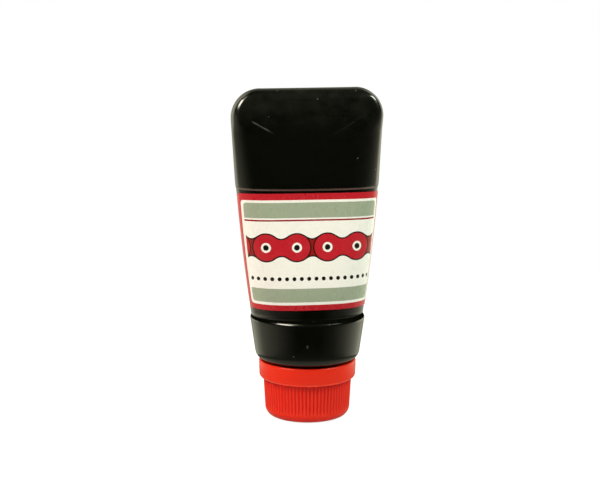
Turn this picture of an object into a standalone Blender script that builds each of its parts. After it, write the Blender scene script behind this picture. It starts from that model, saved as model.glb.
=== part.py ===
# Squeeze tube of grease that stands on its screw cap.
# Metres, +Z up. The standing face is at Z = 0, the front faces -Y, and the cap's thread runs on the Z axis.
import math

import bmesh
import bpy
import numpy as np

MM = 0.001

# Fit between pieces that touch on the real tube
SEAT_GAP = 0.3 * MM

# Screw cap
CAP_HEIGHT = 24.7 * MM          # standing face to the rim of the skirt band
CAP_END_WALL = 1.8 * MM
CAP_SIDE_WALL = 2.0 * MM        # bore to the bottom of the rib grooves, and the band's own wall
RIB_COUNT = 75
RIB_DEPTH = 0.45 * MM
GRIP_TAPER = 0.3 * MM           # loss of radius from the band down to the foot
FOOT_ROUNDING_HEIGHT = 6.0 * MM
FOOT_ROUNDING_WIDTH = 3.6 * MM
STANDING_RING = 3.0 * MM        # width of the flat ring that the tube stands on
BASE_DISH_DEPTH = 0.6 * MM
BAND_HEIGHT = 8.0 * MM          # smooth skirt band above the grip
BAND_OVERHANG = 1.9 * MM        # band stands out past the rib crests
BAND_ROUNDING = 2.0 * MM
RIM_EDGE = 0.6 * MM             # softened outer edge of the rim

# Sealing disc and orifice plug
LINER_THICKNESS = 1.0 * MM
PLUG_FLANGE = 1.0 * MM
PLUG_DECK = 1.6 * MM            # wall with the orifice
PLUG_SKIRT_LENGTH = 5.0 * MM
PLUG_SKIRT_WALL = 1.2 * MM
PLUG_LEAD_IN = 0.5 * MM         # chamfer at the skirt's end
ORIFICE_RADIUS = 2.5 * MM

# Neck and round collar of the tube
NECK_RADIUS = 15.2 * MM         # at the root of the thread
NECK_WALL = 1.4 * MM
THREAD_ROOM = 1.6 * MM          # radial space between neck and cap bore that the threads take up
COLLAR_HEIGHT = 19.7 * MM
COLLAR_FOOT_RADIUS = 22.8 * MM
COLLAR_ROUNDING = 4.3 * MM
LIP_RADIUS = 24.8 * MM
LIP_ROUNDING = 1.0 * MM
LEDGE_FILLET = 0.6 * MM         # height over which the panel flares into the crescent ledge

# Flattened body: recessed label panel, then the wedge that ends in the flat tail
BODY_WALL = 1.1 * MM
PANEL_HEIGHT = 55.4 * MM
PANEL_FOOT_HALF_WIDTH = 24.6 * MM
PANEL_FOOT_HALF_DEPTH = 15.2 * MM
PANEL_TOP_HALF_WIDTH = 30.7 * MM
PANEL_TOP_HALF_DEPTH = 9.8 * MM
RECESS_SIDE_DEPTH = 0.4 * MM
RECESS_FACE_DEPTH = 1.0 * MM
RECESS_EDGE = 1.2 * MM          # height of the rounded step above the panel
RECESS_BOW = 0.9 * MM           # the step runs lower in the middle than at the sides
TAIL_HEIGHT = 41.9 * MM
TAIL_END_HALF_WIDTH = 33.6 * MM
TAIL_END_HALF_DEPTH = 4.8 * MM
TAIL_CORNER_RADIUS = 13.0 * MM
TAIL_SLOPE = 0.014              # the trimmed end climbs a little towards +X
TAIL_EDGE_ROUNDING = 4.8 * MM   # height over which the end closes from front to back
TAIL_END_WALL = 2.6 * MM        # thicker where the mould pinched the tail shut

# How square each section is: 2 is an ellipse, more gives flatter faces and tighter sides
ROUND = 2.0
PANEL_FOOT_SQUARENESS = 2.6
PANEL_TOP_SQUARENESS = 5.0
TAIL_END_SQUARENESS = 7.0

# Front label
LABEL_THICKNESS = 0.2 * MM
LABEL_TOP_MARGIN = 2.1 * MM
LABEL_FOOT_MARGIN = 4.0 * MM
LABEL_SEAM_MARGIN = 1.0 * MM    # bare strip along each parting line
LABEL_CORNER_RADIUS = 3.0 * MM

# Contents
GREASE_HEADSPACE = 22.0 * MM    # air left under the tail

# Rounded steps of the loft, as shares of the sizes that they soften
RECESS_SOFTENING = (0.3, 0.35)                           # of the side depth, and of the edge's height
LEDGE_STEPS = ((0.05, 0.45), (0.2, 0.15), (0.9, 0.0))    # way out from panel to lip, height up the fillet
UNDER_LEDGE_STEPS = ((0.85, 0.0), (0.1, 0.2))            # the same for the inner skin, from the lip inwards
LIP_STEPS = ((0.0, 0.5), (0.1, 1.5))                     # of the lip's rounding, inwards and down
TAIL_CLOSING_ANGLE = 86.0                                # degrees round the corner where the flat end starts
BAND_OPENING_ANGLE = -70.0                               # degrees below level where the band leaves the grip

# Facets
QUARTER_POINTS = 13
TAIL_STEPS = 7
INNER_TAIL_STEPS = 3
PANEL_STEPS = 4
BEND_STEPS = 5
INNER_BEND_STEPS = 3
LABEL_COLUMNS = 28
LABEL_ROWS = 4
LABEL_CORNER_STEPS = 3
TURNED_STEPS = 48
CURVE_SAMPLES = 500
SHARP_ANGLE = 35.0

# Heights and radii that follow from the sizes above
LINER_FLOOR = CAP_END_WALL + SEAT_GAP
PLUG_FLOOR = LINER_FLOOR + LINER_THICKNESS + SEAT_GAP
NECK_RIM = PLUG_FLOOR + PLUG_FLANGE + SEAT_GAP
COLLAR_FLOOR = CAP_HEIGHT + SEAT_GAP
LIP_TOP = COLLAR_FLOOR + COLLAR_HEIGHT
PANEL_FOOT = LIP_TOP + LEDGE_FILLET
RECESS_TOP = LIP_TOP + PANEL_HEIGHT
PANEL_TOP = RECESS_TOP - RECESS_EDGE
TAIL_FOOT = RECESS_TOP + RECESS_EDGE + RECESS_BOW
TUBE_TOP = RECESS_TOP + TAIL_HEIGHT
NECK_BORE = NECK_RADIUS - NECK_WALL
CAP_BORE = NECK_RADIUS + THREAD_ROOM
GRIP_RADIUS = CAP_BORE + CAP_SIDE_WALL + RIB_DEPTH
FOOT_RADIUS = GRIP_RADIUS - GRIP_TAPER
BAND_RADIUS = GRIP_RADIUS + BAND_OVERHANG
BAND_FLOOR = CAP_HEIGHT - BAND_HEIGHT

# Sections as half width, half depth and squareness
PANEL_FOOT_SECTION = (PANEL_FOOT_HALF_WIDTH, PANEL_FOOT_HALF_DEPTH, PANEL_FOOT_SQUARENESS)
PANEL_TOP_SECTION = (PANEL_TOP_HALF_WIDTH, PANEL_TOP_HALF_DEPTH, PANEL_TOP_SQUARENESS)
TAIL_FOOT_SECTION = (
    PANEL_TOP_HALF_WIDTH + RECESS_SIDE_DEPTH,
    PANEL_TOP_HALF_DEPTH + RECESS_FACE_DEPTH,
    PANEL_TOP_SQUARENESS,
)
TAIL_END_SECTION = (TAIL_END_HALF_WIDTH, TAIL_END_HALF_DEPTH, TAIL_END_SQUARENESS)


def clear_scene():
    for old in list(bpy.data.objects):
        bpy.data.objects.remove(old, do_unlink=True)


def plastic(name, colour, roughness):
    material = bpy.data.materials.new(name)
    material.use_nodes = True
    shader = material.node_tree.nodes["Principled BSDF"]
    shader.inputs["Base Color"].default_value = (*colour, 1.0)
    shader.inputs["Roughness"].default_value = roughness
    shader.inputs["Metallic"].default_value = 0.0
    return material


def add_object(name, mesh, material, height=0.0, parent=None):
    piece = bpy.data.objects.new(name, mesh)
    mesh.materials.append(material)
    piece.location.z = height
    if parent:
        piece.parent = parent
    bpy.data.collections["grease_tube"].objects.link(piece)
    return piece


def shade(mesh):
    mesh.shade_smooth()
    mesh.set_sharp_from_angle(angle=math.radians(SHARP_ANGLE))


def mix(first, last, share):
    return tuple(a + (b - a) * share for a, b in zip(first, last))


def shrink(section, amount):
    half_width, half_depth, squareness = section
    return (half_width - amount, half_depth - amount, squareness)


def circle(radius):
    return (radius, radius, ROUND)


def quarter_curve(section):
    # One quarter of a section from its side to its face, measured half by length and half by turning,
    # so that points gather on tight sides and still follow from one section to the next.
    half_width, half_depth, squareness = section
    angle = 0.5 * math.pi * (1.0 - np.linspace(1.0, 0.0, CURVE_SAMPLES) ** 3)
    x = half_width * np.clip(np.cos(angle), 0.0, 1.0) ** (2.0 / squareness)
    y = half_depth * np.sin(angle)
    length = np.hypot(np.diff(x), np.diff(y))
    heading = np.unwrap(np.arctan2(np.diff(y), np.diff(x)))
    turning = np.abs(np.diff(heading, prepend=heading[0]))
    steps = length / length.sum() + turning / turning.sum()
    measure = np.concatenate([[0.0], np.cumsum(steps)])
    distance = np.concatenate([[0.0], np.cumsum(length)])
    return measure / measure[-1], distance, x, y


def point_on(curve, turn):
    # turn counts quarters from +X: 1 is the back, 2 is -X and 3 is the front.
    measure, _, xs, ys = curve
    quarter = int(turn) % 4
    share = turn - int(turn)
    if quarter % 2:
        share = 1.0 - share
    x = float(np.interp(share, measure, xs))
    y = float(np.interp(share, measure, ys))
    sign_x = -1.0 if quarter in (1, 2) else 1.0
    sign_y = -1.0 if quarter in (2, 3) else 1.0
    return sign_x * x, sign_y * y


def oval_ring(section, height, bow=0.0, slope=0.0):
    curve = quarter_curve(section)
    ring = []
    for step in range(4 * QUARTER_POINTS):
        x, y = point_on(curve, step / QUARTER_POINTS)
        ring.append((x, y, height + bow * (x / section[0]) ** 2 + slope * x))
    return ring


def blend_ring(first, last, share, height):
    return [mix(a, b, share)[:2] + (height,) for a, b in zip(first, last)]


def round_ring(radius, height, count, groove=0.0):
    ring = []
    for step in range(count):
        angle = 2.0 * math.pi * step / count
        reach = radius - groove * (step % 2)
        ring.append((reach * math.cos(angle), reach * math.sin(angle), height))
    return ring


def arc(centre_radius, centre_height, reach, rise, start, end, steps):
    # Points of a profile arc of half axes reach and rise, in degrees from level and outwards.
    points = []
    for step in range(steps + 1):
        angle = math.radians(start + (end - start) * step / steps)
        points.append((centre_radius + reach * math.cos(angle), centre_height + rise * math.sin(angle)))
    return points


def bridge(mesh, lower, upper):
    # Skin two rings. Where one has twice the points of the other, its odd points fall between.
    count = min(len(lower), len(upper))
    for step in range(count):
        after = (step + 1) % count
        if len(lower) == len(upper):
            mesh.faces.new((lower[step], lower[after], upper[after], upper[step]))
            continue
        coarse, fine = (lower, upper) if len(lower) < len(upper) else (upper, lower)
        start, middle, end = fine[2 * step], fine[2 * step + 1], fine[2 * after]
        mesh.faces.new((coarse[step], start, middle))
        mesh.faces.new((coarse[step], middle, coarse[after]))
        mesh.faces.new((coarse[after], middle, end))


def loft(name, rings):
    # Closed body skinned through rings, with a flat face over the first and the last.
    mesh = bmesh.new()
    loops = [[mesh.verts.new(point) for point in ring] for ring in rings]
    for lower, upper in zip(loops, loops[1:]):
        bridge(mesh, lower, upper)
    mesh.faces.new(loops[0])
    mesh.faces.new(loops[-1])
    bmesh.ops.recalc_face_normals(mesh, faces=mesh.faces)
    data = bpy.data.meshes.new(name)
    mesh.to_mesh(data)
    mesh.free()
    shade(data)
    return data


def tail_section(height):
    # The wedge above the label, with its rounded corners and its closed end.
    section = mix(TAIL_FOOT_SECTION, TAIL_END_SECTION, (height - RECESS_TOP) / TAIL_HEIGHT)
    half_width, half_depth, squareness = section
    into_corner = max(0.0, height - (TUBE_TOP - TAIL_CORNER_RADIUS))
    half_width -= TAIL_CORNER_RADIUS - math.sqrt(TAIL_CORNER_RADIUS ** 2 - into_corner ** 2)
    into_edge = max(0.0, height - (TUBE_TOP - TAIL_EDGE_ROUNDING)) / TAIL_EDGE_ROUNDING
    half_depth *= math.sqrt(1.0 - into_edge ** 2)
    return (half_width, half_depth, squareness)


def panel_section(height):
    share = (height - PANEL_FOOT) / (PANEL_TOP - PANEL_FOOT)
    return mix(PANEL_FOOT_SECTION, PANEL_TOP_SECTION, share)


def tail_heights(steps):
    # From the start of the rounded corners to just under the end.
    last = math.radians(TAIL_CLOSING_ANGLE)
    start = TUBE_TOP - TAIL_CORNER_RADIUS
    return [start + TAIL_CORNER_RADIUS * math.sin(last * step / steps) for step in range(steps + 1)]


def panel_heights(steps):
    return [PANEL_FOOT + (PANEL_TOP - PANEL_FOOT) * step / steps for step in range(steps + 1)]


def tail_rings():
    # From the closed end down over the rounded edge of the label recess.
    rings = []
    for height in reversed(tail_heights(TAIL_STEPS)):
        slope = TAIL_SLOPE * (height - RECESS_TOP) / TAIL_HEIGHT
        rings.append(oval_ring(tail_section(height), height, slope=slope))
    inward, downward = RECESS_SOFTENING
    softened = shrink(TAIL_FOOT_SECTION, inward * RECESS_SIDE_DEPTH)
    rings.append(oval_ring(tail_section(TAIL_FOOT), TAIL_FOOT))
    rings.append(oval_ring(TAIL_FOOT_SECTION, RECESS_TOP, RECESS_BOW))
    rings.append(oval_ring(softened, RECESS_TOP - downward * RECESS_EDGE, RECESS_BOW))
    return rings


def panel_rings():
    return [oval_ring(panel_section(height), height) for height in reversed(panel_heights(PANEL_STEPS))]


def collar_rings():
    # From the crescent ledge over the lip, down the round collar and the neck.
    panel = oval_ring(PANEL_FOOT_SECTION, PANEL_FOOT)
    lip = oval_ring(circle(LIP_RADIUS), LIP_TOP)
    rings = [blend_ring(panel, lip, share, LIP_TOP + rise * LEDGE_FILLET) for share, rise in LEDGE_STEPS]
    for inward, downward in LIP_STEPS:
        radius = LIP_RADIUS - inward * LIP_ROUNDING
        rings.append(oval_ring(circle(radius), LIP_TOP - downward * LIP_ROUNDING))
    bend = COLLAR_ROUNDING
    bend_centre = (COLLAR_FOOT_RADIUS - bend, COLLAR_FLOOR + bend)
    for radius, height in arc(*bend_centre, bend, bend, 0.0, -90.0, BEND_STEPS):
        rings.append(oval_ring(circle(radius), height))
    rings.append(oval_ring(circle(NECK_RADIUS), COLLAR_FLOOR))
    rings.append(oval_ring(circle(NECK_RADIUS), NECK_RIM))
    return rings


def tail_cavity(clearance, top):
    # Inner skin from the panel's foot up to a height under the tail's end.
    inset = BODY_WALL + clearance
    rings = []
    for height in panel_heights(PANEL_STEPS):
        rings.append(oval_ring(shrink(panel_section(height), inset), height))
    heights = [TAIL_FOOT] + tail_heights(INNER_TAIL_STEPS)
    for height in [height for height in heights if height < top] + [top]:
        rings.append(oval_ring(shrink(tail_section(height), inset), height))
    return rings


def collar_cavity(clearance):
    # Inner skin of the round collar, from the neck up to the panel's foot.
    inset = BODY_WALL + clearance
    floor = COLLAR_FLOOR + inset
    bend = COLLAR_ROUNDING - BODY_WALL
    bend_centre = (COLLAR_FOOT_RADIUS - COLLAR_ROUNDING - clearance, floor + bend)
    rings = [oval_ring(circle(NECK_BORE - clearance), floor)]
    for radius, height in arc(*bend_centre, bend, bend, -90.0, 0.0, INNER_BEND_STEPS):
        rings.append(oval_ring(circle(radius), height))
    under_ledge = LIP_TOP - inset
    lip = oval_ring(circle(LIP_RADIUS - inset), under_ledge)
    panel = oval_ring(shrink(PANEL_FOOT_SECTION, inset), PANEL_FOOT)
    rings.append(oval_ring(circle(LIP_RADIUS - inset), under_ledge - LIP_ROUNDING))
    for share, rise in UNDER_LEDGE_STEPS:
        rings.append(blend_ring(panel, lip, share, under_ledge + rise * LEDGE_FILLET))
    return rings


def make_tube_body(material):
    mouth = [oval_ring(circle(NECK_BORE), NECK_RIM)]
    outer = tail_rings() + panel_rings() + collar_rings()
    inner = mouth + collar_cavity(0.0) + tail_cavity(0.0, TUBE_TOP - TAIL_END_WALL)
    return add_object("tube_body", loft("tube_body", outer + inner), material)


def make_grease(material, tube):
    plug_deck = PLUG_FLOOR + PLUG_DECK + SEAT_GAP
    skirt_end = PLUG_FLOOR + PLUG_FLANGE + PLUG_SKIRT_LENGTH + SEAT_GAP
    inside_skirt = NECK_BORE - 2.0 * SEAT_GAP - PLUG_SKIRT_WALL
    rings = [
        oval_ring(circle(inside_skirt), plug_deck),
        oval_ring(circle(inside_skirt), skirt_end),
        oval_ring(circle(NECK_BORE - SEAT_GAP), skirt_end),
    ]
    rings += collar_cavity(SEAT_GAP) + tail_cavity(SEAT_GAP, TUBE_TOP - GREASE_HEADSPACE)
    return add_object("grease_fill", loft("grease_fill", rings), material, parent=tube)


def make_label(material, tube):
    # A sheet over the front of the panel, short of both parting lines, then thickened outwards.
    foot = LIP_TOP + LABEL_FOOT_MARGIN
    top = RECESS_TOP - LABEL_TOP_MARGIN
    turns = [0.5 * math.pi * step / LABEL_CORNER_STEPS for step in range(LABEL_CORNER_STEPS + 1)]
    rises = [LABEL_CORNER_RADIUS * (1.0 - math.cos(turn)) for turn in turns]
    middle = [(top - foot) * row / LABEL_ROWS for row in range(1, LABEL_ROWS)]
    heights = [foot + rise for rise in rises + middle] + [top - rise for rise in reversed(rises)]
    mesh = bmesh.new()
    rows = []
    for height in heights:
        near_end = min(height - foot, top - height, LABEL_CORNER_RADIUS)
        cut_in = LABEL_CORNER_RADIUS - near_end
        margin = LABEL_SEAM_MARGIN + LABEL_CORNER_RADIUS - math.sqrt(LABEL_CORNER_RADIUS ** 2 - cut_in ** 2)
        curve = quarter_curve(shrink(panel_section(height), -SEAT_GAP))
        start = 2.0 + float(np.interp(margin, curve[1], curve[0]))
        row = []
        for column in range(LABEL_COLUMNS + 1):
            turn = start + (6.0 - 2.0 * start) * column / LABEL_COLUMNS
            row.append(mesh.verts.new(point_on(curve, turn) + (height,)))
        rows.append(row)
    for lower, upper in zip(rows, rows[1:]):
        for column in range(LABEL_COLUMNS):
            mesh.faces.new((lower[column], lower[column + 1], upper[column + 1], upper[column]))
    data = bpy.data.meshes.new("front_label")
    mesh.to_mesh(data)
    mesh.free()
    shade(data)
    label = add_object("front_label", data, material, parent=tube)
    film = label.modifiers.new("film thickness", "SOLIDIFY")
    film.thickness = LABEL_THICKNESS
    film.offset = 1.0
    film.use_even_offset = True
    return label


def make_plug(material, tube):
    # Turned insert: a flange on the neck's rim, a deck with the orifice and a skirt inside the neck.
    skirt_radius = NECK_BORE - SEAT_GAP
    skirt_bore = skirt_radius - PLUG_SKIRT_WALL
    skirt_end = PLUG_FLANGE + PLUG_SKIRT_LENGTH
    profile = [
        (skirt_bore, skirt_end),
        (skirt_radius - PLUG_LEAD_IN, skirt_end),
        (skirt_radius, skirt_end - PLUG_LEAD_IN),
        (skirt_radius, PLUG_FLANGE),
        (NECK_RADIUS, PLUG_FLANGE),
        (NECK_RADIUS, 0.0),
        (ORIFICE_RADIUS, 0.0),
        (ORIFICE_RADIUS, PLUG_DECK),
        (skirt_bore, PLUG_DECK),
    ]
    data = bpy.data.meshes.new("orifice_plug")
    edges = [(step, (step + 1) % len(profile)) for step in range(len(profile))]
    data.from_pydata([(radius, 0.0, height) for radius, height in profile], edges, [])
    plug = add_object("orifice_plug", data, material, height=PLUG_FLOOR, parent=tube)
    turned = plug.modifiers.new("turned", "SCREW")
    turned.axis = "Z"
    turned.steps = TURNED_STEPS
    turned.render_steps = TURNED_STEPS
    turned.use_merge_vertices = True
    turned.merge_threshold = 0.00001
    turned.use_smooth_shade = False
    return plug


def make_liner(material):
    mesh = bmesh.new()
    bmesh.ops.create_cone(
        mesh,
        cap_ends=True,
        segments=TURNED_STEPS,
        radius1=CAP_BORE - SEAT_GAP,
        radius2=CAP_BORE - SEAT_GAP,
        depth=LINER_THICKNESS,
    )
    data = bpy.data.meshes.new("cap_liner")
    mesh.to_mesh(data)
    mesh.free()
    shade(data)
    return add_object("cap_liner", data, material, height=LINER_FLOOR + 0.5 * LINER_THICKNESS)


def make_cap(material):
    # Ribbed grip between the plain foot and the plain skirt band, then down the bore to the end wall.
    plain, ribbed = RIB_COUNT, 2 * RIB_COUNT
    foot_centre = FOOT_RADIUS - FOOT_ROUNDING_WIDTH
    dish_radius = foot_centre - STANDING_RING
    runout = math.degrees(math.acos(1.0 - RIB_DEPTH / FOOT_ROUNDING_WIDTH))
    rings = [
        round_ring(dish_radius - BASE_DISH_DEPTH, BASE_DISH_DEPTH, plain),
        round_ring(dish_radius, 0.0, plain),
    ]
    foot = (foot_centre, FOOT_ROUNDING_HEIGHT, FOOT_ROUNDING_WIDTH, FOOT_ROUNDING_HEIGHT)
    for radius, height in arc(*foot, -90.0, -runout, BEND_STEPS):
        rings.append(round_ring(radius, height, plain))
    rings.append(round_ring(FOOT_RADIUS, FOOT_ROUNDING_HEIGHT, ribbed, RIB_DEPTH))
    rings.append(round_ring(GRIP_RADIUS, BAND_FLOOR, ribbed, RIB_DEPTH))
    band_centre = BAND_RADIUS - BAND_ROUNDING
    band_bend = (band_centre, BAND_FLOOR + BAND_ROUNDING, BAND_ROUNDING, BAND_ROUNDING)
    for radius, height in arc(*band_bend, BAND_OPENING_ANGLE, 0.0, BEND_STEPS):
        rings.append(round_ring(radius, height, plain))
    rings.append(round_ring(BAND_RADIUS, CAP_HEIGHT - RIM_EDGE, plain))
    rings.append(round_ring(BAND_RADIUS - RIM_EDGE, CAP_HEIGHT, plain))
    band_bore = BAND_RADIUS - CAP_SIDE_WALL
    step_height = BAND_FLOOR + CAP_SIDE_WALL
    rings.append(round_ring(band_bore, CAP_HEIGHT, plain))
    rings.append(round_ring(band_bore, step_height, plain))
    rings.append(round_ring(CAP_BORE, step_height, plain))
    rings.append(round_ring(CAP_BORE, CAP_END_WALL, plain))
    return add_object("screw_cap", loft("screw_cap", rings), material)


def main():
    clear_scene()
    parts = bpy.data.collections.new("grease_tube")
    bpy.context.scene.collection.children.link(parts)
    tube = make_tube_body(plastic("black polyethylene", (0.004, 0.005, 0.004), 0.28))
    make_label(plastic("printed film", (0.62, 0.60, 0.55), 0.32), tube)
    make_plug(plastic("natural polyethylene", (0.72, 0.72, 0.68), 0.45), tube)
    make_grease(plastic("graphite grease", (0.012, 0.012, 0.013), 0.35), tube)
    make_cap(plastic("red polypropylene", (0.63, 0.022, 0.012), 0.4))
    make_liner(plastic("white foam", (0.8, 0.8, 0.78), 0.7))


main()
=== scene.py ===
# Looks of a squeeze tube of grease: camera, studio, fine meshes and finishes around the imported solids.
import math

import bmesh
import bpy
import numpy as np
from mathutils import Matrix, Vector


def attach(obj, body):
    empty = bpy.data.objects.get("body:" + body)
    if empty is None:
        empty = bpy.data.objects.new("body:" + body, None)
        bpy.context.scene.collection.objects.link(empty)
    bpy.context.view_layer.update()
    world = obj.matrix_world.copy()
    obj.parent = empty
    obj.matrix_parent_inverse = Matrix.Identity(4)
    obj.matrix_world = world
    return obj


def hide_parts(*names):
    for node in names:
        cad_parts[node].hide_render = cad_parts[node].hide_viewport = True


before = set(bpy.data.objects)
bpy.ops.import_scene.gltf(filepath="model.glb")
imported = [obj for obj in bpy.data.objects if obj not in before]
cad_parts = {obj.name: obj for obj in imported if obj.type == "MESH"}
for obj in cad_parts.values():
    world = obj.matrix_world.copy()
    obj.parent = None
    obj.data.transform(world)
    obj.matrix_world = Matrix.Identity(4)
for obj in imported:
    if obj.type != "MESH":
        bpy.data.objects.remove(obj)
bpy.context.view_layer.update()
mm = 0.001
print("frame loaded:", ", ".join(sorted(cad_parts)))


def hexColour(text):
    # sRGB hex to the linear values that shaders take
    channels = [int(text[start:start + 2], 16) / 255 for start in (1, 3, 5)]
    return tuple(c / 12.92 if c <= 0.04045 else ((c + 0.055) / 1.055) ** 2.4 for c in channels) + (1.0,)


def perMetre(size):
    # scale of a pattern whose cells are that many millimetres wide
    return 1.0 / (size * mm)


def setInputs(tree, node, values):
    # values in the order of the node's inputs, or by name in a dictionary: a node or a socket is linked,
    # a text is a hex colour, and any other value is set
    sockets = [socket for socket in node.inputs if socket.enabled]
    if isinstance(values, dict):
        sockets = [next(socket for socket in sockets if socket.name == name) for name in values]
        values = values.values()
    for socket, value in zip(sockets, values):
        if isinstance(value, bpy.types.Node):
            value = next(output for output in value.outputs if output.enabled)
        if isinstance(value, bpy.types.NodeSocket):
            tree.links.new(value, socket)
        else:
            socket.default_value = hexColour(value) if isinstance(value, str) else value


def addNode(tree, kind, values=(), **settings):
    node = tree.nodes.new("ShaderNode" + kind)
    for name, value in settings.items():
        setattr(node, name, value)
    setInputs(tree, node, values)
    return node


def fadeIn(tree, level, limits, unit=mm, **blend):
    # a level that comes in as each value goes from the first number of its pair to the second
    for value, (outside, inside) in limits:
        share = addNode(tree, "MapRange", (value, outside * unit, inside * unit), **blend)
        level = addNode(tree, "Math", (level, share), operation="MULTIPLY")
    return level


def newMaterial(name):
    material = bpy.data.materials.new(name)
    material.use_nodes = True
    return material, material.node_tree, material.node_tree.nodes["Principled BSDF"]


# Camera, from the outline of the tube in the photograph
cameraView = {
    "distance": 500 * mm,      # level distance from the thread axis
    "height": 148 * mm,
    "azimuth": -9.7,           # degrees, a little to the left of the label
    "pitch": 8.6,              # degrees down
    "turnLeft": 0.367,         # degrees, sets the tube right of the middle
    "focalPixels": 1170.1,
    "imageWidth": 600,
}


def makeCamera(view):
    azimuth = math.radians(view["azimuth"])
    heading = azimuth + math.radians(view["turnLeft"])
    pitch = math.radians(view["pitch"])
    data = bpy.data.cameras.new("camera")
    data.sensor_fit = "HORIZONTAL"
    data.sensor_width = 36.0
    data.lens = data.sensor_width * view["focalPixels"] / view["imageWidth"]
    camera = bpy.data.objects.new("camera", data)
    bpy.context.scene.collection.objects.link(camera)
    reach = view["distance"]
    camera.location = (reach * math.sin(azimuth), -reach * math.cos(azimuth), view["height"])
    turn = Matrix.Rotation(heading, 4, "Z") @ Matrix.Rotation(math.pi / 2 - pitch, 4, "X")
    camera.rotation_euler = turn.to_euler()
    bpy.context.scene.camera = camera


makeCamera(cameraView)
bpy.context.scene.view_settings.view_transform = "Standard"
print("camera set")

# Studio: two soft boxes in front at the sides, a white room that only gloss sees, a small white table
studio = {
    "lamps": {
        "key softbox": {"power": 3.65, "colour": "#fff3e6", "azimuth": -66.0, "size": (290 * mm, 180 * mm)},
        "fill softbox": {"power": 3.05, "colour": "#eef8e8", "azimuth": 60.0, "size": (190 * mm, 180 * mm)},
    },
    "lampDistance": 600 * mm,
    "lampElevation": 42.0,
    "lampAim": 70 * mm,                      # height on the tube's axis that both lamps face
    "ambient": 0.22,                         # even light from all sides
    "cardColour": "#fffde0",                 # tint of the white room in gloss
    "ceiling": 0.05,                         # faint light that gloss sees from above
    "ceilingFade": (0.1, 0.5),               # heights of a direction over which it comes in
    "sideFade": (0.3, 0.05),                 # and over which the room's sides darken upwards
    "backTurn": (108.0, 118.0),              # the white backdrop starts at this turn
    "backFoot": (-0.28, -0.18),              # and reaches from here
    "backHead": (0.93, 0.82),                # to here, as heights of a direction
    "backLevel": (1.5, 2.0),                 # how bright gloss finds it on the left and right
    "backJoin": (-0.1, 0.1),                 # radians, left becomes right in front
    "backMiddle": (136.0, 164.0, 0.18),      # it falls to this share straight behind
    "haloLevel": 5.0,                        # bright cloth around the key lamp, as gloss sees it
    "haloTurn": ((-82.0, -66.0), (-26.0, -42.0)),
    "haloRise": ((0.45, 0.6), (0.97, 0.88)),
    # how bright gloss finds the room at each turn from the camera, degrees to the left and right
    "room": ((-180, 0.2), (-168, 0.25), (-148, 1.0), (-125, 0.9), (-112, 0.62), (-100, 0.6), (-88, 0.55),
             (-77, 0.47), (-65, 0.37), (-50, 0.2), (-40, 0.1), (-30, 0.04), (-20, 0.0), (30, 0.01),
             (40, 0.05), (50, 0.08), (58, 0.13), (65, 0.2), (75, 0.33), (85, 0.46), (98, 0.7), (112, 0.9),
             (128, 1.0), (148, 1.0), (168, 0.25), (180, 0.2)),
    "tableRadius": 420 * mm,
    "tableDrop": 0.05 * mm,
    "tableColours": ("#e4e4e2", "#eaeae8"),
    "tableGrain": 6.0,                       # in millimetres
    "tableShade": 0.32,                      # how much of its white the lamps give, so how deep shadows are
    "tableGlow": 0.82,                       # and how much it has by itself, to the camera
    "tableGloss": ((46 * mm, 0.5), (80 * mm, 0.03)),   # what gloss sees near the tube, by distance
    "tableSeen": 78 * mm,                              # gloss sees the table as far as this
}


def makeLamp(name, lamp, look):
    data = bpy.data.lights.new(name, "AREA")
    data.shape = "RECTANGLE"
    data.size, data.size_y = lamp["size"]
    data.energy = lamp["power"]
    data.color = hexColour(lamp["colour"])[:3]
    box = bpy.data.objects.new(name, data)
    bpy.context.scene.collection.objects.link(box)
    around = math.radians(lamp["azimuth"])
    up = math.radians(look["lampElevation"])
    back = Vector((math.sin(around) * math.cos(up), -math.cos(around) * math.cos(up), math.sin(up)))
    box.location = Vector((0.0, 0.0, look["lampAim"])) + back * look["lampDistance"]
    box.rotation_euler = (-back).to_track_quat("-Z", "Y").to_euler()


def roomWalls(tree, turn, look):
    # ramp of the room's brightness all around
    share = addNode(tree, "MapRange", (turn, -math.pi, math.pi))
    room = addNode(tree, "ValToRGB", (share,))
    stops = room.color_ramp.elements
    for degrees, bright in look["room"]:
        place = degrees / 360 + 0.5
        stop = stops[0] if degrees == -180 else stops[-1] if degrees == 180 else stops.new(place)
        stop.position = place
        stop.color = (bright, bright, bright, 1.0)
    return room


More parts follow.
